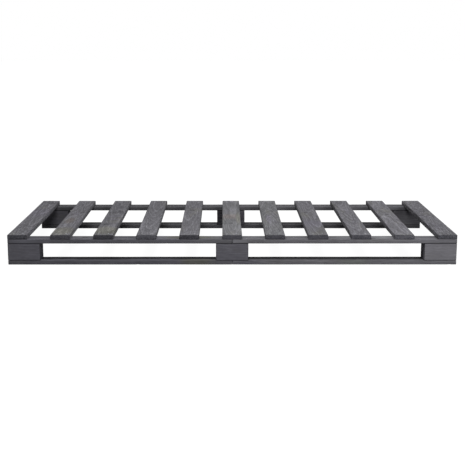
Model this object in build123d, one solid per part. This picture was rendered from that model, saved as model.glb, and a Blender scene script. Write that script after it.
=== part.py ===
from build123d import *
import os

# A low slatted bed base built like a pallet. Slats run front to back over two long side frames.
# Each frame is a top rail and a bottom rail, both in two halves that butt at the middle,
# with three spacer blocks between them. All sizes are in millimetres.
# X runs along the bed, Y from front to rear, Z up. The origin is the middle of the footprint,
# on the floor.

# Driving sizes of the whole bed
bed_length = 2000.0
bed_width = 900.0

# Slats, laid flat across both frames and flush with their outer faces
slat_count = 11
slat_width = 88.0
slat_thickness = 20.0

# Rails, flat boards above and below the blocks
rail_depth = 78.0
top_rail_thickness = 19.0
bottom_rail_thickness = 19.0

# Blocks, as deep as the rails
block_length = 145.0
block_height = 77.0

# Planed timber has its arrises eased to this radius
edge_radius = 2.0

# Countersunk screws that hold the slats to the top rails, two at each slat end
slat_screw_length = 35.0
slat_screw_diameter = 4.0
slat_screw_head_diameter = 8.0
slat_screw_spacing = 43.0

# Countersunk screws that hold the rails to the blocks, two at each rail end
rail_screw_length = 50.0
rail_screw_diameter = 5.0
rail_screw_head_diameter = 10.0
rail_screw_spacing = 39.0
top_screw_joint_inset = 24.0
bottom_screw_joint_inset = 45.0
bottom_screw_end_inset = 72.0

# Shape of the screws: the rim above the cone, the point, and the cross recess for the driver
screw_rim_height = 0.6
screw_point_share = 0.15
recess_length_share = 0.55
recess_width_share = 0.13
recess_depth_share = 0.3

# Heads lie this far below the wood, and each hole is this much larger than its screw all round
screw_sink = 0.5
screw_fit_gap = 0.05
cut_overrun = 1.0

# Heights of the layers, from the floor up
block_bottom_z = bottom_rail_thickness
top_rail_bottom_z = block_bottom_z + block_height
slat_bottom_z = top_rail_bottom_z + top_rail_thickness
slat_top_z = slat_bottom_z + slat_thickness

# Places along and across the bed
rail_half_length = bed_length / 2
slat_pitch = (bed_length - slat_width) / (slat_count - 1)
slat_places_x = [slat_pitch * (index - (slat_count - 1) / 2) for index in range(slat_count)]
block_places_x = {
    "left": (block_length - bed_length) / 2,
    "centre": 0,
    "right": (bed_length - block_length) / 2,
}
frame_places_y = {
    "front": (rail_depth - bed_width) / 2,
    "rear": (bed_width - rail_depth) / 2,
}
side_signs = {"left": -1, "right": 1}


def eased_board(length, depth, height):
    """A board with its twelve arrises rounded, standing on its underside."""
    board = Box(length, depth, height, align=(Align.CENTER, Align.CENTER, Align.MIN))
    return fillet(board.edges(), edge_radius)


def screw_body(length, diameter, head_diameter, gap):
    """A pointed countersunk body below Z zero, its radii and its point grown by the gap."""
    radius = diameter / 2 + gap
    head_radius = head_diameter / 2 + gap
    rim_z = -screw_rim_height - gap
    neck_z = rim_z - (head_radius - radius)
    point_z = -length - gap
    outline = Polyline(
        (0, 0),
        (head_radius, 0),
        (head_radius, rim_z),
        (radius, neck_z),
        (radius, point_z + length * screw_point_share),
        (0, point_z),
        close=True,
    )
    return revolve(make_face(Plane.XZ * outline), Axis.Z)


def screw(length, diameter, head_diameter):
    """One wood screw, head up, with a cross recess."""
    bar_length = head_diameter * recess_length_share
    bar_width = head_diameter * recess_width_share
    bar_depth = head_diameter * recess_depth_share
    bar = Box(bar_length, bar_width, bar_depth, align=(Align.CENTER, Align.CENTER, Align.MAX))
    cross = bar + Rot(0, 0, 90) * bar
    return screw_body(length, diameter, head_diameter, 0) - cross


def screw_hole(length, diameter, head_diameter):
    """What one screw and the sinking of its head take out of the wood."""
    mouth_radius = head_diameter / 2 + screw_fit_gap
    mouth_height = screw_sink + cut_overrun
    mouth = Cylinder(mouth_radius, mouth_height, align=(Align.CENTER, Align.CENTER, Align.MIN))
    return screw_body(length, diameter, head_diameter, screw_fit_gap) + mouth


def head_up(x, y, surface_z):
    """Where a screw goes that is driven down through a surface."""
    return Pos(x, y, surface_z - screw_sink)


def head_down(x, y, surface_z):
    """Where a screw goes that is driven up through a surface."""
    return Pos(x, y, surface_z + screw_sink) * Rot(180, 0, 0)


def slat_screw_places(frame):
    """Two screws side by side at the end of each slat, over the middle of the rail."""
    return [
        head_up(slat_x + sign * slat_screw_spacing / 2, frame_places_y[frame], slat_top_z)
        for slat_x in slat_places_x
        for sign in side_signs.values()
    ]


def rail_end_places(frame, end_x, joint_x):
    """Plan places of the screw pairs at the outer end and at the middle joint of both halves."""
    return [
        (side * x, frame_places_y[frame] + across * rail_screw_spacing / 2)
        for side in side_signs.values()
        for x in (end_x, joint_x)
        for across in side_signs.values()
    ]


def top_rail_screw_places(frame):
    """Screws under the outer slats and under the middle slat, driven down into the blocks."""
    plan = rail_end_places(frame, slat_places_x[-1], top_screw_joint_inset)
    return [head_up(x, y, slat_bottom_z) for x, y in plan]


def bottom_rail_screw_places(frame):
    """Screws through the underside into the blocks."""
    end_x = bed_length / 2 - bottom_screw_end_inset
    plan = rail_end_places(frame, end_x, bottom_screw_joint_inset)
    return [head_down(x, y, 0) for x, y in plan]


def drilled(piece, hole, places):
    """The piece with the holes whose axes pass through its plan."""
    box = piece.bounding_box()
    cuts = [
        place * hole
        for place in places
        if box.min.X < place.position.X < box.max.X and box.min.Y < place.position.Y < box.max.Y
    ]
    return piece - cuts if cuts else piece


def slat(slat_x):
    """One slat with four countersunk holes."""
    board = Pos(slat_x, 0, slat_bottom_z) * eased_board(slat_width, bed_width, slat_thickness)
    for frame in frame_places_y:
        board = drilled(board, slat_hole, slat_screw_places(frame))
    return board


def top_rail_half(frame, side):
    """Half of a top rail, with the slat screws' holes and its own."""
    half_x = side_signs[side] * rail_half_length / 2
    place = Pos(half_x, frame_places_y[frame], top_rail_bottom_z)
    board = place * eased_board(rail_half_length, rail_depth, top_rail_thickness)
    board = drilled(board, slat_hole, slat_screw_places(frame))
    return drilled(board, rail_hole, top_rail_screw_places(frame))


def bottom_rail_half(frame, side):
    """Half of a bottom rail, which lies on the floor."""
    half_x = side_signs[side] * rail_half_length / 2
    place = Pos(half_x, frame_places_y[frame], 0)
    board = place * eased_board(rail_half_length, rail_depth, bottom_rail_thickness)
    return drilled(board, rail_hole, bottom_rail_screw_places(frame))


def block(frame, name):
    """A spacer block, screwed from above and from below."""
    place = Pos(block_places_x[name], frame_places_y[frame], block_bottom_z)
    body = place * eased_board(block_length, rail_depth, block_height)
    body = drilled(body, slat_hole, slat_screw_places(frame))
    body = drilled(body, rail_hole, top_rail_screw_places(frame))
    return drilled(body, rail_hole, bottom_rail_screw_places(frame))


def screw_group(one_screw, places):
    """Like screws, each a solid of its own."""
    return Compound(children=[place * one_screw for place in places])


slat_screw_sizes = (slat_screw_length, slat_screw_diameter, slat_screw_head_diameter)
rail_screw_sizes = (rail_screw_length, rail_screw_diameter, rail_screw_head_diameter)
slat_screw = screw(*slat_screw_sizes)
rail_screw = screw(*rail_screw_sizes)
slat_hole = screw_hole(*slat_screw_sizes)
rail_hole = screw_hole(*rail_screw_sizes)

nodes = {}
for number, slat_x in enumerate(slat_places_x, start=1):
    nodes[f"slat_{number:02d}"] = slat(slat_x)
for frame in frame_places_y:
    for side in side_signs:
        nodes[f"{frame}_top_rail_{side}"] = top_rail_half(frame, side)
        nodes[f"{frame}_bottom_rail_{side}"] = bottom_rail_half(frame, side)
    for name in block_places_x:
        nodes[f"{frame}_block_{name}"] = block(frame, name)
    nodes[f"{frame}_slat_screws"] = screw_group(slat_screw, slat_screw_places(frame))
    nodes[f"{frame}_top_rail_screws"] = screw_group(rail_screw, top_rail_screw_places(frame))
    nodes[f"{frame}_bottom_rail_screws"] = screw_group(rail_screw, bottom_rail_screw_places(frame))

os.makedirs("parts", exist_ok=True)
for name, shape in nodes.items():
    shape.label = name
    export_step(shape, f"parts/{name}.step")
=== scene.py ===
import math
import random
from functools import partial
from itertools import count

import bpy
import numpy as np
from mathutils import Euler, Matrix, Vector


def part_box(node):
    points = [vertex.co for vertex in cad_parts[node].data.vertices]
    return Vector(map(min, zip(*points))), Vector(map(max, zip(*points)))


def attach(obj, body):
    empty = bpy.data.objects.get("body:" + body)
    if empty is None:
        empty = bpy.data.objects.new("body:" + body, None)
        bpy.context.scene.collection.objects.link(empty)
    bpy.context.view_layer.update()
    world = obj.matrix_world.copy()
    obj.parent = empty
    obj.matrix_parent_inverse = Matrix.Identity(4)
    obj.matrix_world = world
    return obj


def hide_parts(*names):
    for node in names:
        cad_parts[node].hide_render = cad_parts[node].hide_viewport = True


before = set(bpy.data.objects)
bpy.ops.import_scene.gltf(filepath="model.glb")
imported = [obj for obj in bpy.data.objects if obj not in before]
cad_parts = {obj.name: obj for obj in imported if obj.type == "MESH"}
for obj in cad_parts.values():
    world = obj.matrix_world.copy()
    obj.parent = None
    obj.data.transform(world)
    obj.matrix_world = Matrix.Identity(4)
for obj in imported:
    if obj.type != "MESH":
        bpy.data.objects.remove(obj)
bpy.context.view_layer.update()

# A pallet bed of planed pine in a dark grey stain: eleven slats, two long frames of rails and
# blocks, and zinc-plated screws. It stands on the floor with its middle at the origin, its front
# towards -Y and +Z up. The sizes of the boards come from the frame.
millimetresInMetre = 1000


def linearColour(hexText, level=1.0):
    # an sRGB hex value as linear light, made darker or paler by a level
    shares = [int(hexText[i:i + 2], 16) / 255 for i in (1, 3, 5)]
    light = [s / 12.92 if s <= 0.04045 else ((s + 0.055) / 1.055) ** 2.4 for s in shares]
    return [level * value for value in light] + [1.0]


def addNode(tree, kind, inputs=None, stops=(), **settings):
    # one shader node: its settings, a ramp's stops, and its inputs as values, nodes or sockets
    node = tree.nodes.new("ShaderNode" + kind)
    for name, value in settings.items():
        setattr(node, name, value)
    for number, (position, level) in enumerate(stops):
        ramp = node.color_ramp.elements
        stop = ramp[number] if number < 2 else ramp.new(position)
        stop.position = position
        stop.color = (level, level, level, 1.0)
    for socket, value in (inputs or {}).items():
        if isinstance(value, bpy.types.Node):
            value = next(out for out in value.outputs if out.enabled)
        if isinstance(value, bpy.types.NodeSocket):
            tree.links.new(value, node.inputs[socket])
        else:
            node.inputs[socket].default_value = value
    return node


# The view of the photograph. Metres and degrees, lens and sensor in millimetres
cameraView = {
    "place": (-0.03820, -4.69589, 1.01844),
    "pitchDown": 11.604,
    "turn": 0.095,
    "roll": -0.037,
    "lens": 75.666,
    "sensor": 36.0,
    "shiftX": 0.0226,
}


def makeCamera():
    lens = bpy.data.cameras.new("photoView")
    lens.lens = cameraView["lens"]
    lens.sensor_width = cameraView["sensor"]
    lens.shift_x = cameraView["shiftX"]
    camera = bpy.data.objects.new("photoView", lens)
    tilt = Euler((math.radians(90 - cameraView["pitchDown"]), 0, math.radians(cameraView["turn"])))
    roll = Matrix.Rotation(math.radians(cameraView["roll"]), 3, "Z")
    turned = (tilt.to_matrix() @ roll).to_4x4()
    camera.matrix_world = Matrix.Translation(cameraView["place"]) @ turned
    bpy.context.collection.objects.link(camera)
    bpy.context.scene.camera = camera


# Plain soft light: a large box above and in front, one in front to the right, a weaker one behind,
# and a weak low one off each end, which is nearly black without it. Metres and watts
softboxes = {
    "frontTop": {
        "place": (-0.2, -1.6, 3.1), "aim": (0.0, 0.0, 0.1), "size": (1.6, 0.6), "watts": 72,
    },
    "frontRight": {
        "place": (2.3, -3.0, 1.2), "aim": (0.6, -0.45, 0.1), "size": (1.4, 1.2), "watts": 48,
    },
    "behind": {
        "place": (0.0, 3.2, 1.9), "aim": (0.0, 0.45, 0.1), "size": (3.6, 0.8), "watts": 42,
    },
    "leftEnd": {
        "place": (-3.4, 0.2, 0.45), "aim": (-1.0, 0.1, 0.07), "size": (1.6, 0.5), "watts": 16,
    },
    "rightEnd": {
        "place": (3.4, 0.4, 0.40), "aim": (1.0, 0.2, 0.07), "size": (1.6, 0.4), "watts": 11,
    },
}


def makeSoftboxes():
    for name, box in softboxes.items():
        light = bpy.data.lights.new(name, "AREA")
        light.shape = "RECTANGLE"
        light.energy = box["watts"]
        light.size, light.size_y = box["size"]
        lamp = bpy.data.objects.new(name, light)
        towards = Vector(box["aim"]) - Vector(box["place"])
        turn = towards.to_track_quat("-Z", "Y").to_matrix().to_4x4()
        lamp.matrix_world = Matrix.Translation(box["place"]) @ turn
        bpy.context.collection.objects.link(lamp)


# A pale seamless floor and a plain surround. Cameras, gloss and glass see both as white
studio = {
    "floorHalfSize": 30.0,
    "floorColour": "#757575",   # what the floor sends back to the bed
    "seenColour": "#6f6f6f",    # what it shows, on top of its glow, where light falls on it
    "seenGlow": 0.95,           # share of white that it glows with near the bed
    "shadowReach": (1.3, 2.6),  # metres from the middle over which the bed's shadow ends
    "surroundLevel": 0.06,      # share of white that the surround lights the bed with
}


def seenRay(add):
    # 1 for the rays that show a background, which are camera, gloss and glass rays
    ray = add("LightPath").outputs
    cameraOrGloss = add("Math", {0: ray["Is Camera Ray"], 1: ray["Is Glossy Ray"]},
                        operation="MAXIMUM")
    return add("Math", {0: cameraOrGloss, 1: ray["Is Transmission Ray"]}, operation="MAXIMUM")


def makeSurround():
    world = bpy.data.worlds.new("plainSurround")
    world.use_nodes = True
    world.node_tree.nodes.clear()
    add = partial(addNode, world.node_tree)
    level = add("Mix", {0: seenRay(add), 2: studio["surroundLevel"], 3: 1.0})
    white = add("Background", {"Color": (1, 1, 1, 1), "Strength": level})
    add("OutputWorld", {"Surface": white})
    bpy.context.scene.world = world


def makeFloor():
    # matt white card, which glows nearly to white where it is seen and keeps the bed's faint shadow
    half = studio["floorHalfSize"]
    corners = [(-half, -half, 0), (half, -half, 0), (half, half, 0), (-half, half, 0)]
    mesh = bpy.data.meshes.new("studioFloor")
    mesh.from_pydata(corners, [], [(0, 1, 2, 3)])
    floor = bpy.data.objects.new("studioFloor", mesh)
    bpy.context.collection.objects.link(floor)
    card = bpy.data.materials.new("mattWhiteCard")
    card.use_nodes = True
    card.node_tree.nodes.clear()
    add = partial(addNode, card.node_tree)
    plain = add("BsdfDiffuse", {"Color": linearColour(studio["floorColour"])})
    shaded = add("BsdfDiffuse", {"Color": linearColour(studio["seenColour"])})
    away = add("VectorMath", {0: add("TexCoord").outputs["Object"]}, operation="LENGTH")
    near, far = studio["shadowReach"]
    level = add("MapRange", {0: away, 1: near, 2: far, 3: studio["seenGlow"], 4: 1.0},
                interpolation_type="SMOOTHSTEP")
    glow = add("Emission", {"Color": (1, 1, 1, 1), "Strength": level})
    seen = add("AddShader", {0: shaded, 1: glow})
    add("OutputMaterial", {"Surface": add("MixShader", {0: seenRay(add), 1: plain, 2: seen})})
    mesh.materials.append(card)


bpy.context.scene.view_settings.view_transform = "Standard"
makeCamera()
makeSoftboxes()
makeSurround()
makeFloor()
print("Camera, softboxes and floor are in place")

# How a board's surface is made. Planed arrises are eased to 2 mm and then knocked about a little.
# Sizes and depths in millimetres
boardSurface = {
    "rounding": 2.0,
    "arcLines": 2,          # mesh lines over half of a rounded arris
    "alongStep": 6.5,       # between mesh lines along the grain, and across it
    "acrossStep": 5.2,
    "closestLines": 0.4,    # mesh lines nearer than this become one
    "arrisWear": 0.55,      # depth of the wear on an arris
    "wornPlace": (9, 40),   # size of a worn place, across and along the grain
    "wave": 0.22,           # depth of the waves that planing leaves
    "waveStretch": 1.6,     # they are this much larger than worn places
    "sawnEnd": 0.25,        # depth and size of the saw marks on the ends
    "sawMark": 2.5,
    "nickWidth": 0.45,      # a nick's width as a share of its length
    "nickLines": (-1, -0.6, -0.25, 0.25, 0.6, 1),  # extra mesh lines at each nick, in nick lengths
    "bearing": 78.0,        # a slat lies on a rail over this length at each end
    "smoothAngle": 35,
}


def softNoise(points, sizes, seed):
    # a smooth value from 0 to 1 over points, changing over about the given sizes
    waves = 7
    slowest, fastest = 0.5, 1.6
    fullTurn = 6.28
    draw = random.Random(seed)
    total = np.zeros(len(points))
    for _ in range(waves):
        direction = [draw.uniform(slowest, fastest) * draw.choice((-1, 1)) for _ in range(3)]
        total += np.sin(points @ (np.array(direction) / sizes) + draw.uniform(0, fullTurn))
    return np.clip(0.5 + total / waves, 0, 1)


def placeAlong(share, halfLength):
    # a share of a board's length as a distance from its middle
    return (2 * share - 1) * halfLength


def surfaceLines(half, step, extra=()):
    # where the mesh lines cross one axis: close together over each rounded arris, then even
    rounding = boardSurface["rounding"]
    arcLines = boardSurface["arcLines"]
    tangents = [math.tan(math.pi / 4 * i / arcLines) for i in range(arcLines + 1)]
    arc = [half - rounding * (1 - tangent) for tangent in tangents]
    flat = half - rounding
    inside = np.linspace(-flat, flat, max(2, round(2 * flat / step)) + 1)[1:-1]
    wanted = [*inside, *extra, *arc, *(-v for v in arc)]
    lines = sorted({round(v, 4) for v in wanted if abs(v) <= half})
    kept = lines[:1]
    same = 1e-3
    for line in lines[1:]:
        near = line - kept[-1] < boardSurface["closestLines"]
        if not near or abs(abs(line) - half) < same or abs(abs(line) - flat) < same:
            kept.append(line)
    return np.array(kept)


def boxSkin(lines):
    # a closed box of quads whose mesh lines stand at the given places along x, y and z
    shape = [len(line) for line in lines]
    skin = np.zeros(shape, bool)
    for axis in range(3):
        for side in (0, -1):
            skin[tuple(side if other == axis else slice(None) for other in range(3))] = True
    ids = np.full(shape, -1)
    ids[skin] = np.arange(skin.sum())
    points = np.stack([grid[skin] for grid in np.meshgrid(*lines, indexing="ij")], axis=1)
    faces = []
    for axis in range(3):
        for side in (0, -1):
            sheet = np.take(ids, side, axis=axis)
            corners = [sheet[:-1, :-1], sheet[1:, :-1], sheet[1:, 1:], sheet[:-1, 1:]]
            quads = np.stack(corners, axis=-1)
            turned = (side == 0) != (axis == 1)
            faces.append(quads.reshape(-1, 4)[:, ::-1 if turned else 1])
    return points, np.concatenate(faces)


def boardPoints(points, half, grain, look, seed):
    # rounds the box's arrises, then lets planing, sawing, wear and nicks take a little off
    rounding = boardSurface["rounding"]
    inner = np.clip(points, rounding - half, half - rounding)
    outward = points - inner
    outward /= np.linalg.norm(outward, axis=1, keepdims=True)
    places = inner + rounding * outward
    # 0 on the flat faces, 1 at the middle of an arris
    arris = np.clip((1 - np.abs(outward).max(axis=1)) / (1 - math.sqrt(0.5)), 0, 1)
    along = np.eye(3)[grain]
    wornAcross, wornAlong = boardSurface["wornPlace"]
    worn = wornAcross + (wornAlong - wornAcross) * along
    sawn = np.full(3, boardSurface["sawMark"])
    cut = boardSurface["wave"] * softNoise(places, worn * boardSurface["waveStretch"], seed)
    cut += boardSurface["arrisWear"] * arris * softNoise(places, worn, seed + 1) ** 2
    cut += boardSurface["sawnEnd"] * np.abs(outward[:, grain]) * softNoise(places, sawn, seed + 2)
    width = boardSurface["nickWidth"]
    for share, sideAcross, sideUp, length, depth in look["nicks"]:
        nick = np.array([sideAcross, sideAcross, sideUp]) * half
        nick[grain] = placeAlong(share, half[grain])
        reach = (places - nick) / (length * (width + (1 - width) * along))
        cut += depth * np.clip(1 - (reach ** 2).sum(axis=1), 0, 1) ** 1.5
    places = places - outward * cut[:, None]
    free = half[grain] - boardSurface["bearing"]
    bend = np.clip(1 - (places[:, grain] / free) ** 2, 0, 1) ** 2
    places[:, 2] -= look["sag"] * bend
    return places


def makeObject(name, points, faces):
    mesh = bpy.data.meshes.new(name)
    places = np.asarray(points) / millimetresInMetre
    mesh.from_pydata(places, [], [list(map(int, face)) for face in faces])
    mesh.validate()
    made = bpy.data.objects.new(name, mesh)
    bpy.context.collection.objects.link(made)
    return made


# The holes that the screws sit in. Radii and lengths in millimetres
screwHoles = {
    "slat": {"shank": 2.05, "head": 4.05, "length": 35.05},
    "rail": {"shank": 2.55, "head": 5.05, "length": 50.05},
    "rim": 0.65,            # height of the head's edge above its cone
    "sink": 0.5,            # how far a head stands below the wood
    "mouthHeight": 1.5,     # how far the cutter reaches out of the wood
    "pointShare": 0.15,     # share of the length that tapers to the point
    "corners": 32,
}

# Where the screws go, in millimetres from the middle of the bed
screwPlan = {
    "railY": 411.0,
    "slatPitch": 191.2,
    "slatSpacing": 43.0,
    "railSpacing": 39.0,
    "topEndX": 956.0,
    "topJointX": 24.0,
    "bottomEndX": 928.0,
    "bottomJointX": 45.0,
    "slatTop": 135.0,
    "topRailTop": 115.0,
}


def screwPlaces():
    # x, y, z of each screw hole's mouth, whether it points down or up, and its sort
    plan = screwPlan
    for front in (-1, 1):
        for number in range(-5, 6):  # the eleven slats
            for side in (-1, 1):
                x = number * plan["slatPitch"] + side * plan["slatSpacing"] / 2
                yield x, front * plan["railY"], plan["slatTop"], -1, "slat"
        for side in (-1, 1):
            for across in (-1, 1):
                y = front * plan["railY"] + across * plan["railSpacing"] / 2
                for x in (plan["topEndX"], plan["topJointX"]):
                    yield side * x, y, plan["topRailTop"], -1, "rail"
                for x in (plan["bottomEndX"], plan["bottomJointX"]):
                    yield side * x, y, 0.0, 1, "rail"


def holeCutter(low, high):
    # one mesh with a turned body for each screw that passes through the board, or None
    verts = []
    faces = []
    corners = screwHoles["corners"]
    for x, y, z, way, sort in screwPlaces():
        hole = screwHoles[sort]
        depth = hole["length"] + screwHoles["sink"]
        bottom, top = sorted((z, z + way * depth))
        inPlan = low[0] < x < high[0] and low[1] < y < high[1]
        if not (inPlan and bottom < high[2] and low[2] < top):
            continue
        rim = screwHoles["sink"] + screwHoles["rim"]
        outline = [
            (hole["head"], -screwHoles["mouthHeight"]),
            (hole["head"], rim),
            (hole["shank"], rim + hole["head"] - hole["shank"]),
            (hole["shank"], depth - hole["length"] * screwHoles["pointShare"]),
        ]
        first = len(verts)
        for radius, down in outline:
            for k in range(corners):
                turn = 2 * math.pi * k / corners
                verts.append((x + radius * math.cos(turn), y + radius * math.sin(turn),
                              z + way * down))
        verts.append((x, y, z + way * depth))
        for ring in range(len(outline) - 1):
            for k in range(corners):
                a = first + ring * corners + k
                b = first + ring * corners + (k + 1) % corners
                faces.append((a, b, b + corners, a + corners)[::way])
        last = first + (len(outline) - 1) * corners
        faces.append(tuple(range(first, first + corners))[::-way])
        for k in range(corners):
            faces.append((last + k, last + (k + 1) % corners, len(verts) - 1)[::way])
    return (verts, faces) if verts else None


def cutHoles(board, low, high):
    cutter = holeCutter(low, high)
    if cutter is None:
        return
    tool = makeObject("holeCutter", *cutter)
    cut = board.modifiers.new("screwHoles", "BOOLEAN")
    cut.operation = "DIFFERENCE"
    cut.solver = "EXACT"
    cut.object = tool
    evaluated = board.evaluated_get(bpy.context.evaluated_depsgraph_get())
    drilled = bpy.data.meshes.new_from_object(evaluated)
    board.modifiers.clear()
    plain = board.data
    board.data = drilled
    drilled.name = board.name
    bpy.data.meshes.remove(plain)
    toolMesh = tool.data
    bpy.data.objects.remove(tool)
    bpy.data.meshes.remove(toolMesh)


# The grey stain soaks into each board differently. These are the greys that it dries to, and the
# pine that shows where it is rubbed off
stainColours = {
    "slate": "#757479",
    "violet": "#75737b",
    "dusk": "#75747c",
    "green": "#747675",
    "olive": "#777672",
    "rose": "#7a7575",
    "ash": "#757578",
    "barePine": "#8d867c",
}

# Planed pine under a thin water-based stain, matt to the eye. The dense late wood of each ring
# takes less stain and stays paler, end grain drinks it and goes darker, and rubbed arrises show
# a little bare wood. Its IOR is that of wood under a thin varnish. Sizes in millimetres
stainedPineFinish = {
    "ior": 1.48,
    "specular": 0.015,          # dry stained wood hardly gleams
    "roughness": 0.72,
    "roughnessSpread": 0.16,
    "wander": (330, 75, 9),     # how far the rings wander: length, width, amount
    "fibre": (90, 3.0),         # pine fibres are 0.04 mm wide, and 3 mm streaks stand for them
    "mottle": (34, 7.0),        # uneven take-up of the stain, length and width
    "blotch": (210, 58),        # larger clouds of stain
    "cloudDetail": {"wander": 2, "blotch": 2, "mottle": 3, "fibre": 2},
    "cloudRoughness": 0.6,
    "seedStep": (91.7, 37.3, 53.9),  # sets each board's clouds in a place of their own
    "endStain": "dusk",         # end grain keeps more of the blue pigment
    "endFacing": (0.5, 0.85),   # how squarely a face looks along the grain to be end grain
    "arrisBand": (0.6, 3.4),    # the arrises' stain, painted shade and painted highlight fade out over this distance
    "tintEdge": (0.5, 0.72),    # cloud values at which a drift in hue starts and is full
    "patchEdge": (1.6, 0.9),    # a patch starts and is full here, in half sizes and ragged
    "patchRagged": 0.8,
    "rubbedBand": (3.4, 2.0),   # bare wood starts and is full this far from an arris, also ragged
    "rubbedRagged": 5.0,
    "reliefHeight": 0.45,       # brushing lowers the soft early wood
    "reliefStrength": 0.6,
    "fibreRelief": 0.7,         # height of the fibres beside that of the rings
}

# The year rings: soft early wood that the stain makes dark, then a thin hard band of late wood
# that stays pale. Positions within a ring or a knot run from 0 to 1, and tones from dark to pale
pineFigure = {
    "ringStops": ((0, 0.0), (1, 0.05), (0.45, 0.14), (0.74, 0.55), (0.88, 1.0), (0.95, 0.85)),
    "ringMiddle": 0.38,         # tone at which a ring neither darkens nor lightens the board
    "unevenEvery": 0.07,        # ring widths change this many times in a millimetre
    "unevenBy": 3.2,            # by up to this many rings
    "knotStretch": 0.8,         # a knot's width as a share of its length
    "knotRagged": 0.35,         # how uneven its outline is, in radii
    "knotPush": 1.9,            # radii by which it pushes the board's rings aside
    "knotFade": -0.16,          # how soon that push fades, with the distance squared
    "knotEdge": 1.1,            # radii at which the board's rings end and the knot's own begin
    "knotRings": 1.6,           # its own rings are this much closer together
    "knotShown": 0.36,          # share of the knot's tones that one radius takes
    "knotStops": (
        (0, 0.5), (1, 1), (0.07, 0.68), (0.3, 0.66), (0.38, 0.34), (0.44, 0.5), (0.6, 0.92),
    ),
}


def stainClouds(add, wood, seed):
    # the four noises of a board, stretched along the grain
    finish = stainedPineFinish
    shift = tuple(seed * step for step in finish["seedStep"])
    shifted = add("VectorMath", {0: wood, 1: shift}, operation="ADD")
    clouds = {}
    for part, detail in finish["cloudDetail"].items():
        length, width = finish[part][:2]
        scaled = add("VectorMath", {0: shifted, 1: (1 / length, 1 / width, 1 / width)},
                     operation="MULTIPLY")
        clouds[part] = add("TexNoise", {"Vector": scaled, "Scale": 1.0, "Detail": detail,
                                        "Roughness": finish["cloudRoughness"]})
    return clouds


def distanceFromPith(add, wood, alongGrain, clouds, look):
    # how far the wood lies from a pith that leans and wanders along the board
    amount = stainedPineFinish["wander"][2]
    pithAcross, pithUp = look["pith"]
    leanAcross, leanUp = look["lean"]
    start = (0, -pithAcross - amount, -pithUp - amount)
    drift = add("VectorMath", {0: alongGrain, 1: (0, -leanAcross, -leanUp), 2: start},
                operation="MULTIPLY_ADD")
    wander = clouds["wander"].outputs["Color"]
    wandered = add("VectorMath", {0: wander, 1: (0, 2 * amount, 2 * amount), 2: drift},
                   operation="MULTIPLY_ADD")
    fromPith = add("VectorMath", {0: wood, 1: (0, 1, 1), 2: wandered}, operation="MULTIPLY_ADD")
    return add("VectorMath", {0: fromPith}, operation="LENGTH")


def addKnots(add, wood, clouds, distance, halfLength, look):
    # knots push the rings aside and have fine rings of their own inside a dark rim
    figure = pineFigure
    shades = []
    for share, across, radius in look["knots"]:
        stretch = figure["knotStretch"]
        place = (-stretch * placeAlong(share, halfLength) / radius, -across / radius, 0)
        aside = add("VectorMath", {0: wood, 1: (stretch / radius, 1 / radius, 0), 2: place},
                    operation="MULTIPLY_ADD")
        reach = add("VectorMath", {0: aside}, operation="LENGTH")
        reach = add("Math", {0: clouds["mottle"], 1: figure["knotRagged"], 2: reach},
                    operation="MULTIPLY_ADD")
        squared = add("Math", {0: reach, 1: reach}, operation="MULTIPLY")
        faded = add("Math", {0: squared, 1: figure["knotFade"]}, operation="MULTIPLY")
        faded = add("Math", {0: faded}, operation="EXPONENT")
        distance = add("Math", {0: faded, 1: figure["knotPush"] * radius, 2: distance},
                       operation="MULTIPLY_ADD")
        inside = add("Math", {0: reach, 1: figure["knotEdge"]}, operation="LESS_THAN")
        own = add("Math", {0: reach, 1: figure["knotRings"] * radius}, operation="MULTIPLY")
        distance = add("Mix", {0: inside, 2: distance, 3: own})
        shown = add("Math", {0: reach, 1: figure["knotShown"]}, operation="MULTIPLY")
        shades.append(add("ValToRGB", {0: shown}, stops=figure["knotStops"]))
    return distance, shades


def yearRings(add, distance, look):
    # rings of uneven width around the pith
    figure = pineFigure
    uneven = add("Math", {0: distance, 1: figure["unevenEvery"]}, operation="MULTIPLY")
    uneven = add("TexNoise", {"W": uneven, "Scale": 1.0, "Detail": 1.0}, noise_dimensions="1D")
    counted = add("Math", {0: distance, 1: 1 / look["ring"]}, operation="MULTIPLY")
    counted = add("Math", {0: uneven, 1: figure["unevenBy"], 2: counted}, operation="MULTIPLY_ADD")
    within = add("Math", {0: counted}, operation="FRACT")
    return add("ValToRGB", {0: within}, stops=figure["ringStops"])


def distanceFromArris(add, local, half):
    # the middle one of the three gaps to the board's faces tells how far the nearest arris is
    inward = add("VectorMath", {0: local}, operation="ABSOLUTE")
    gaps = add("VectorMath", {0: tuple(half), 1: inward}, operation="SUBTRACT")
    gap = add("SeparateXYZ", {0: gaps}).outputs
    small = add("Math", {0: gap[0], 1: gap[1]}, operation="MINIMUM")
    large = add("Math", {0: gap[0], 1: gap[1]}, operation="MAXIMUM")
    large = add("Math", {0: large, 1: gap[2]}, operation="MINIMUM")
    return add("Math", {0: small, 1: large}, operation="MAXIMUM")


def stainTone(add, ring, clouds, look):
    # rings, fibres and clouds as one factor about the board's own level. The noises lie about 0.5
    patterns = (
        (ring, look["ringStrength"]),
        (clouds["fibre"], look["fibreStrength"]),
        (clouds["mottle"], look["mottleStrength"]),
        (clouds["blotch"], look["blotchStrength"]),
    )
    tone = -pineFigure["ringMiddle"] * look["ringStrength"] - 0.5 * sum(s for _, s in patterns[1:])
    for pattern, strength in patterns:
        tone = add("Math", {0: pattern, 1: strength, 2: tone}, operation="MULTIPLY_ADD")
    return add("Math", {0: tone}, operation="EXPONENT")


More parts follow.
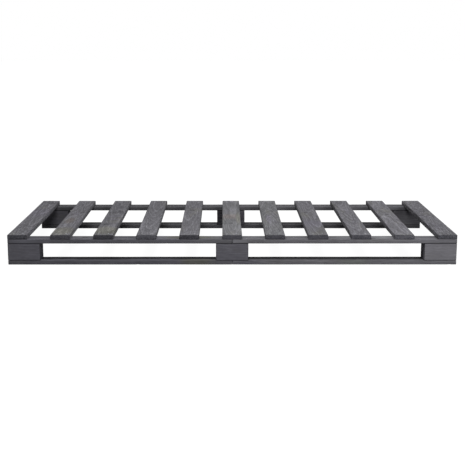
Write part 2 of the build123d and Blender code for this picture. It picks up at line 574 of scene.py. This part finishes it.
def stainColour(add, wood, clouds, halfLength, look):
    # the board's own grey, drifting a little, with patches where the stain took differently. Some
    # patches are painted shade, and pale ones take painted shade back off the rear boards' outer
    # faces
    finish = stainedPineFinish
    colour = linearColour(stainColours[look["stain"]], look["level"])
    hueCloud = add("SeparateColor", {0: clouds["blotch"].outputs["Color"]})
    start, full = finish["tintEdge"]
    for channel, stain in ((1, "violet"), (2, "olive")):
        share = add("MapRange", {0: hueCloud.outputs[channel], 1: start, 2: full},
                    interpolation_type="SMOOTHSTEP")
        share = add("Math", {0: share, 1: look["tint"]}, operation="MULTIPLY")
        drifted = linearColour(stainColours[stain], look["level"])
        colour = add("Mix", {0: share, 6: colour, 7: drifted}, data_type="RGBA")
    start, full = finish["patchEdge"]
    for share, across, length, width, stain, level in look["patches"]:
        place = (-placeAlong(share, halfLength) / length, -across / width, 0)
        aside = add("VectorMath", {0: wood, 1: (1 / length, 1 / width, 0), 2: place},
                    operation="MULTIPLY_ADD")
        reach = add("VectorMath", {0: aside}, operation="LENGTH")
        ragged = add("Math", {0: clouds["mottle"], 1: finish["patchRagged"], 2: reach},
                     operation="MULTIPLY_ADD")
        mask = add("MapRange", {0: ragged, 1: start, 2: full}, interpolation_type="SMOOTHSTEP")
        patch = linearColour(stainColours[stain], look["level"] * level)
        colour = add("Mix", {0: mask, 6: colour, 7: patch}, data_type="RGBA")
    return colour


def stainedPine(name, middle, half, grain, look, seed):
    finish = stainedPineFinish
    pine = bpy.data.materials.new("stainedPine_" + name)
    pine.use_nodes = True
    pine.node_tree.nodes.clear()
    add = partial(addNode, pine.node_tree)

    # millimetres from the board's middle, and the same with the grain along x
    coordinates = add("TexCoord")
    local = add("VectorMath", {0: coordinates.outputs["Object"], 1: (millimetresInMetre,) * 3,
                               2: tuple(-middle)}, operation="MULTIPLY_ADD")
    axes = add("SeparateXYZ", {0: local}).outputs
    wood = add("CombineXYZ", {0: axes[grain], 1: axes[1 - grain], 2: axes[2]})
    clouds = stainClouds(add, wood, seed)
    distance = distanceFromPith(add, wood, axes[grain], clouds, look)
    distance, shades = addKnots(add, wood, clouds, distance, half[grain], look)
    ring = yearRings(add, distance, look)
    tone = stainTone(add, ring, clouds, look)

    # end grain soaks up more stain. Arrises darken with soaked stain, on rails and blocks also with
    # painted shade in the grooves where boards meet, and an upper arris factor above 1 is a painted
    # highlight
    facing = add("VectorMath", {0: coordinates.outputs["Normal"], 1: tuple(np.eye(3)[grain])},
                 operation="DOT_PRODUCT")
    start, full = finish["endFacing"]
    atEnd = add("MapRange", {0: add("Math", {0: facing}, operation="ABSOLUTE"), 1: start, 2: full},
                interpolation_type="SMOOTHSTEP")
    endGrain = add("Mix", {0: atEnd, 2: 1.0, 3: look["endGrain"]})
    fromArris = distanceFromArris(add, local, half)
    upper = add("Math", {0: axes[2], 1: 0.0}, operation="GREATER_THAN")
    atArris = add("Mix", {0: upper, 2: look["arris"], 3: look["topArris"]})
    near, far = finish["arrisBand"]
    arrisStainShadeHighlight = add("MapRange", {0: fromArris, 1: near, 2: far, 3: atArris, 4: 1.0},
                 interpolation_type="SMOOTHSTEP")
    for shade in [endGrain, arrisStainShadeHighlight, *shades]:
        tone = add("Math", {0: tone, 1: shade}, operation="MULTIPLY")

    colour = stainColour(add, wood, clouds, half[grain], look)
    endColour = linearColour(stainColours[finish["endStain"]], look["level"])
    colour = add("Mix", {0: atEnd, 6: colour, 7: endColour}, data_type="RGBA")
    colour = add("VectorMath", {0: colour, "Scale": tone}, operation="SCALE")

    # bare wood shows where an arris is rubbed
    patchy = add("Math", {0: clouds["mottle"], 1: finish["rubbedRagged"], 2: fromArris},
                 operation="MULTIPLY_ADD")
    start, full = finish["rubbedBand"]
    rubbed = add("MapRange", {0: patchy, 1: start, 2: full, 4: look["wear"]},
                 interpolation_type="SMOOTHSTEP")
    barePine = linearColour(stainColours["barePine"])
    colour = add("Mix", {0: rubbed, 6: colour, 7: barePine}, data_type="RGBA")

    smoothest = finish["roughness"] - finish["roughnessSpread"] / 2
    roughness = add("Math", {0: clouds["mottle"], 1: finish["roughnessSpread"], 2: smoothest},
                    operation="MULTIPLY_ADD")
    relief = add("Math", {0: clouds["fibre"], 1: finish["fibreRelief"], 2: ring},
                 operation="MULTIPLY_ADD")
    bump = add("Bump", {"Height": relief, "Strength": finish["reliefStrength"],
                        "Distance": finish["reliefHeight"] / millimetresInMetre})
    surface = add("BsdfPrincipled", {"Base Color": colour, "Roughness": roughness,
                                     "IOR": finish["ior"], "Specular IOR Level": finish["specular"],
                                     "Normal": bump})
    add("OutputMaterial", {"Surface": surface})
    return pine


def makeBoard(node, look, grain, seed):
    low, high = (np.array(corner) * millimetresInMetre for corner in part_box(node))
    middle = (low + high) / 2
    half = (high - low) / 2
    nickLines = [placeAlong(share, half[grain]) + length * step
                 for share, _, _, length, _ in look["nicks"] for step in boardSurface["nickLines"]]
    lines = [surfaceLines(half[axis], boardSurface["alongStep" if axis == grain else "acrossStep"],
                          nickLines if axis == grain else ()) for axis in range(3)]
    points, faces = boxSkin(lines)
    places = boardPoints(points, half, grain, look, seed) + middle
    board = makeObject(node + "_timber", places, faces)
    cutHoles(board, low, high)
    board.data.materials.clear()
    board.data.materials.append(stainedPine(node, middle, half, grain, look, seed))
    board.data.shade_smooth()
    board.data.set_sharp_from_angle(angle=math.radians(boardSurface["smoothAngle"]))
    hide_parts(node)
    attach(board, "root")


# What boards share, unless they or their kind say otherwise. Sizes in millimetres, strengths as
# shares of the board's own tone. Every board also has a level, which makes it darker or paler than
# its stain, an endGrain, which does this to its ends, a pith, which is the tree's centre across and
# up from the board's middle, and a lean, how far the pith drifts for each millimetre along it
commonTimber = {
    "stain": "slate",
    "ring": 3.6,                # width of a year ring in slow-grown pine
    "knots": (),                # share along, across, radius
    "nicks": (),                # share along, side across, side up, length, depth
    "patches": (),              # share along, across, half length, half width, stain, level
    "ringStrength": 0.42,
    "fibreStrength": 1.20,
    "mottleStrength": 1.55,
    "blotchStrength": 0.72,
    "tint": 0.55,               # how far the clouds of stain drift towards violet and olive
    "arris": 0.55,              # a rounded arris soaks up more stain; far lower values add painted shade in the grooves between boards
    "topArris": 0.55,           # the same for the upper arrises; above 1 it is a painted highlight where they catch the light
    "wear": 0.30,
    "sag": 0.0,
}

boardSeeds = count(1)
alongX, alongY = 0, 1           # which way the grain runs


def makeBoards(timber, kind, grain, slot):
    for node, ownLook in timber.items():
        makeBoard(node, {**commonTimber, **kind, **ownLook}, grain, next(boardSeeds))
    print("Boards finished for", slot)


# Slats, left to right. Shares run from the front end to the rear end, and across is from left to
# right. Later patches lie over earlier ones. One of half length 900 is a strip down the whole
# board, which here is painted shade down the left sides of slats 8 to 11
slatTimber = {
    "slat_01": {
        "level": 0.87, "endGrain": 0.59, "ring": 4.6, "pith": (18, -62), "lean": (0.004, 0.03),
        "sag": 0.5, "fibreStrength": 1.9, "mottleStrength": 2.1,
        "nicks": ((0.31, -1, 1, 9, 0.7),),
        "patches": (
            (0.62, 0, 110, 60, "violet", 1.10),
            (0.94, 0, 60, 60, "slate", 0.82),
        ),
    },
    "slat_02": {
        "level": 0.94, "endGrain": 0.54, "ring": 5.0, "pith": (-10, -70), "lean": (0.006, -0.024),
        "sag": 0.8,
        "knots": ((0.62, 22, 6),),
        "patches": (
            (0.75, 4, 130, 60, "slate", 0.96),
            (0.38, -8, 80, 24, "rose", 0.98),
            (0.10, -6, 100, 60, "olive", 1.05),
        ),
    },
    "slat_03": {
        "level": 0.84, "endGrain": 0.45, "ring": 5.0, "pith": (12, -56), "lean": (-0.008, 0.026),
        "sag": 0.7,
        "knots": ((0.66, 18, 9), (0.28, -16, 8)),
        "patches": (
            (0.62, 0, 34, 60, "slate", 0.70),
            (0.95, 0, 60, 60, "slate", 0.90),
            (0.42, 2, 15, 60, "violet", 1.13),
            (0.51, 4, 15, 60, "violet", 1.12),
            (0.29, -6, 24, 60, "slate", 0.82),
            (0.12, 0, 100, 70, "olive", 1.10),
        ),
    },
    "slat_04": {
        "level": 0.91, "endGrain": 0.76, "ring": 5.2, "pith": (6, -74), "lean": (0.002, 0.034),
        "sag": 0.4,
        "nicks": ((0.83, 1, 1, 7, 0.8),),
        "patches": (
            (0.28, 0, 110, 60, "slate", 1.07),
            (0.10, 0, 90, 60, "slate", 1.05),
            (0.74, 0, 190, 60, "slate", 0.92),
        ),
    },
    "slat_05": {
        "level": 0.93, "endGrain": 0.46, "ring": 4.8, "pith": (-16, -58), "lean": (0.008, 0.022),
        "sag": 0.9,
        "knots": ((0.69, -5, 10),),
        "patches": (
            (0.05, 0, 60, 60, "slate", 1.15),
            (0.30, 0, 70, 60, "slate", 0.95),
        ),
    },
    "slat_06": {
        "stain": "ash", "level": 1.06, "endGrain": 0.55, "ring": 5.4, "pith": (8, -66),
        "lean": (-0.006, 0.026), "sag": 0.6, "fibreStrength": 0.75, "mottleStrength": 0.90,
        "knots": ((0.31, -4, 8),),
        "patches": (
            (0.50, -4, 70, 60, "rose", 1.0),
            (0.20, 0, 130, 70, "ash", 1.16),
            (0.84, 0, 110, 70, "ash", 0.90),
            (0.45, 32, 160, 12, "olive", 1.06),
        ),
    },
    "slat_07": {
        "stain": "ash", "level": 0.99, "endGrain": 0.48, "ring": 5.0, "pith": (-4, -78),
        "lean": (0.004, -0.032), "sag": 0.7,
        "knots": ((0.66, 14, 7),),
        "patches": ((0.44, -12, 120, 15, "violet", 1.20),),
    },
    "slat_08": {
        "level": 0.97, "endGrain": 0.60, "ring": 4.6, "pith": (20, -54), "lean": (-0.006, 0.018),
        "sag": 0.8, "fibreStrength": 0.85, "mottleStrength": 1.10,
        "knots": ((0.62, -12, 7),),
        "nicks": ((0.55, -1, 1, 10, 0.6),),
        "patches": (
            (0.30, 0, 90, 70, "violet", 1.06),
            # painted shade down the left side
            (0.50, -56, 900, 18, "slate", 0.55),
        ),
    },
    "slat_09": {
        "level": 0.99, "endGrain": 0.53, "ring": 5.2, "pith": (0, -80), "lean": (0.004, 0.034),
        "sag": 0.5, "ringStrength": 0.40,
        "patches": (
            (0.80, 8, 90, 30, "slate", 1.14),
            # painted shade down the left side
            (0.50, -56, 900, 18, "slate", 0.40),
        ),
    },
    "slat_10": {
        "level": 1.09, "endGrain": 0.66, "ring": 5.0, "pith": (-12, -64), "lean": (0.01, -0.028),
        "sag": 0.7, "ringStrength": 0.40,
        "knots": ((0.56, 4, 7),),
        "patches": (
            # painted shade down the left side
            (0.50, -56, 900, 18, "slate", 0.45),
            (0.56, 4, 60, 24, "slate", 1.06),
            (0.42, 0, 80, 50, "slate", 0.93),
            (0.82, 0, 50, 60, "slate", 1.12),
            (0.10, 0, 90, 80, "slate", 1.14),
        ),
    },
    "slat_11": {
        "level": 0.96, "endGrain": 0.59, "ring": 3.8, "pith": (-48, -36), "lean": (-0.003, 0.008),
        "sag": 0.5, "wear": 0.5, "fibreStrength": 2.2, "mottleStrength": 2.3,
        "nicks": ((0.22, 1, 1, 8, 0.8),),
        "patches": (
            (0.81, 0, 90, 70, "slate", 1.14),
            # painted shade down the left side
            (0.50, -56, 900, 18, "slate", 0.45),
        ),
    },
}
makeBoards(slatTimber, {}, alongY, "slat_wood")

# Rails, each of two boards that butt on the middle block. Shares run from left to right, and across
# is from front to rear. Their wood is calmer than that of the slats. Strips of half length 900 are
# painted shade on the rear part of each top, and a pale strip takes painted shade back off the rear
# ones' outer faces
calmTimber = {
    "ringStrength": 0.20,
    "fibreStrength": 0.55,
    "mottleStrength": 0.72,
    "blotchStrength": 0.45,
    "tint": 0.25,
    "endGrain": 0.74,
    # The lower arrises much darker: soaked stain and painted shade in the grooves where boards
    # meet. The upper ones paler than the face: a painted highlight where they catch the light
    "arris": 0.17,
    "topArris": 1.10,
}
railTimber = {
    "front_top_rail_left": {
        "stain": "dusk", "level": 0.77, "topArris": 0.80, "pith": (-30, -36),
        "lean": (0.010, 0.006),
        "knots": ((0.34, 10, 8),),
        "nicks": ((0.23, -1, 1, 9, 0.7), (0.71, -1, -1, 7, 0.6)),
        "patches": (
            # painted shade on the rear part of the top
            (0.50, 16, 900, 34, "dusk", 0.70),
            (0.07, -60, 80, 34, "dusk", 1.34),
            (0.30, -60, 140, 34, "dusk", 0.84),
            (0.88, -60, 80, 34, "slate", 1.20),
            (0.36, 16, 90, 30, "slate", 1.16),
            (0.70, 0, 50, 90, "dusk", 1.10),
            (0.97, 0, 80, 90, "slate", 1.18),
            (0.81, 6, 130, 34, "olive", 1.04),
        ),
    },
    "front_top_rail_right": {
        "level": 0.97, "topArris": 0.80, "pith": (22, -42), "lean": (-0.008, 0.010),
        "knots": ((0.63, -12, 7),),
        "nicks": ((0.47, -1, 1, 8, 0.6),),
        "patches": (
            (0.80, 0, 140, 90, "slate", 1.17),
            # painted shade on the rear part of the top
            (0.50, 18, 900, 34, "slate", 0.76),
            (0.90, 18, 130, 34, "slate", 0.90),
            (0.14, 0, 80, 90, "slate", 0.95),
            (0.02, -60, 60, 34, "slate", 1.10),
            (0.11, -60, 40, 34, "slate", 0.84),
            (0.62, 8, 170, 30, "ash", 1.40),
        ),
    },
    # The bottom rails' upper arrises are darker, as painted shade under the top rail
    "front_bottom_rail_left": {
        "stain": "dusk", "level": 0.73, "topArris": 0.70, "pith": (-16, 40),
        "lean": (0.006, -0.012),
        "nicks": ((0.58, -1, -1, 11, 1.0),),
        "patches": (
            # painted shade on the rear part of the top
            (0.50, 14, 900, 44, "dusk", 0.50),
            (0.84, -30, 80, 30, "olive", 1.02),
            (0.64, 0, 130, 90, "dusk", 0.90),
            (0.25, 0, 60, 90, "dusk", 0.90),
        ),
    },
    "front_bottom_rail_right": {
        "level": 0.93, "topArris": 0.70, "pith": (34, -28), "lean": (-0.006, -0.008),
        "nicks": ((0.36, -1, 1, 8, 0.7), (0.97, -1, -1, 12, 1.1)),
        "patches": (
            (0.06, 0, 90, 90, "dusk", 0.82),
            (0.36, 0, 70, 90, "slate", 1.12),
            (0.54, 0, 90, 80, "green", 1.05),
            # painted shade on the rear part of the top
            (0.50, 14, 900, 44, "slate", 0.46),
        ),
    },
    # The rear rails' low levels, and the darker arrises of the bottom ones, are partly a darker
    # wood and partly painted shade for the shade under the slats. A pale strip along each outer
    # face takes the painted shade back off there
    "rear_top_rail_left": {
        "level": 0.56, "pith": (14, -50), "lean": (0.004, 0.012),
        "knots": ((0.57, -16, 8),),
        "patches": (
            # painted shade on the rear part of the top
            (0.50, 26, 900, 30, "slate", 0.78),
            (0.86, 0, 130, 90, "slate", 1.12),
            (0.22, 0, 130, 90, "slate", 0.92),
            (0.50, 64, 900, 34, "slate", 1.45),
        ),
    },
    "rear_top_rail_right": {
        "level": 0.77, "pith": (-24, -34), "lean": (0.008, -0.010),
        "knots": ((0.28, 14, 6),),
        "nicks": ((0.64, 1, 1, 9, 0.8),),
        "patches": (
            (0.80, 0, 150, 90, "slate", 1.18),
            # painted shade on the rear part of the top
            (0.50, 26, 900, 30, "slate", 0.80),
            (0.50, 64, 900, 34, "slate", 1.40),
        ),
    },
    "rear_bottom_rail_left": {
        "level": 0.51, "arris": 0.12, "pith": (-36, -30), "lean": (0.006, 0.010),
        "nicks": ((0.41, 1, -1, 10, 0.9),),
        "patches": (
            # painted shade on the rear part of the top
            (0.50, 16, 900, 34, "slate", 0.62),
            (0.50, 64, 900, 34, "slate", 1.55),
        ),
    },
    "rear_bottom_rail_right": {
        "level": 0.46, "arris": 0.12, "pith": (20, 44), "lean": (-0.010, -0.006),
        "knots": ((0.72, 8, 8),),
        "patches": (
            # painted shade on the rear part of the top
            (0.50, 16, 900, 34, "slate", 0.50),
            (0.50, 64, 900, 34, "slate", 2.0),
        ),
    },
}
makeBoards(railTimber, calmTimber, alongX, "rail_wood")

# Blocks, sawn from square posts that hold the pith or come close to it, and calmer still. Shares
# and across run as on the rails
postTimber = {
    **calmTimber,
    "ringStrength": 0.14,
    "fibreStrength": 0.42,
    "mottleStrength": 0.60,
    # darker arrises: soaked stain and painted shade in the grooves where the blocks meet the rails
    "arris": 0.14,
    "topArris": 0.22,
}
blockTimber = {
    # Its end grain is darker than on the other blocks, partly as painted shade on its ends
    "front_block_left": {
        "stain": "dusk", "level": 0.82, "endGrain": 0.48, "pith": (12, -60), "lean": (0.02, 0.03),
    },
    "front_block_centre": {
        "stain": "dusk", "level": 0.84, "ring": 4.4, "pith": (-20, 8), "lean": (0.03, -0.02),
    },
    "front_block_right": {"level": 1.12, "ring": 4.2, "pith": (6, -14), "lean": (-0.03, 0.03)},
    # The rear blocks' low levels are partly a darker wood and partly painted shade for the shade
    # under the slats, and a pale strip takes it back off their outer faces
    "rear_block_left": {
        "stain": "dusk", "level": 0.58, "pith": (26, 16), "lean": (-0.02, 0.02),
        "patches": ((0.50, 64, 200, 34, "dusk", 1.50),),
    },
    "rear_block_centre": {
        "stain": "violet", "level": 0.66, "ring": 4.4, "pith": (-8, -26), "lean": (0.02, 0.02),
        "patches": (
            # painted shade on the left end of its front face
            (0.06, -60, 46, 34, "violet", 0.30),
            (0.50, 64, 200, 34, "violet", 1.60),
        ),
    },
    "rear_block_right": {
        "level": 0.63, "pith": (44, -40), "lean": (-0.02, 0.01),
        "patches": ((0.50, 64, 200, 34, "slate", 1.40),),
    },
}
makeBoards(blockTimber, postTimber, alongX, "block_wood")

# Zinc-plated steel screws, bright from the plating bath and a little dulled by handling.
# A soft metallic gleam with faint cloudy patches, and a metal keeps the default IOR
zincPlating = {
    "bright": "#c3c6c9",
    "dulled": "#8f9194",
    "roughness": 0.36,
    "dulledRoughness": 0.52,
    "cloudSize": 2.0,           # millimetres
    "cloudEdge": (0.42, 0.62),
}


def zincPlatedSteel():
    finish = zincPlating
    steel = bpy.data.materials.new("zincPlatedSteel")
    steel.use_nodes = True
    steel.node_tree.nodes.clear()
    add = partial(addNode, steel.node_tree)
    place = add("TexCoord").outputs["Object"]
    scale = millimetresInMetre / finish["cloudSize"]
    clouds = add("TexNoise", {"Vector": place, "Scale": scale, "Detail": 3.0})
    start, full = finish["cloudEdge"]
    dull = add("MapRange", {0: clouds, 1: start, 2: full}, interpolation_type="SMOOTHSTEP")
    bright, dulled = (linearColour(finish[part]) for part in ("bright", "dulled"))
    colour = add("Mix", {0: dull, 6: bright, 7: dulled}, data_type="RGBA")
    roughness = add("Mix", {0: dull, 2: finish["roughness"], 3: finish["dulledRoughness"]})
    surface = add("BsdfPrincipled", {"Base Color": colour, "Roughness": roughness, "Metallic": 1.0})
    add("OutputMaterial", {"Surface": surface})
    return steel


steel = zincPlatedSteel()
for node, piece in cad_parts.items():
    if node.endswith("_screws"):
        piece.data.materials.clear()
        piece.data.materials.append(steel)
print("Screws plated")
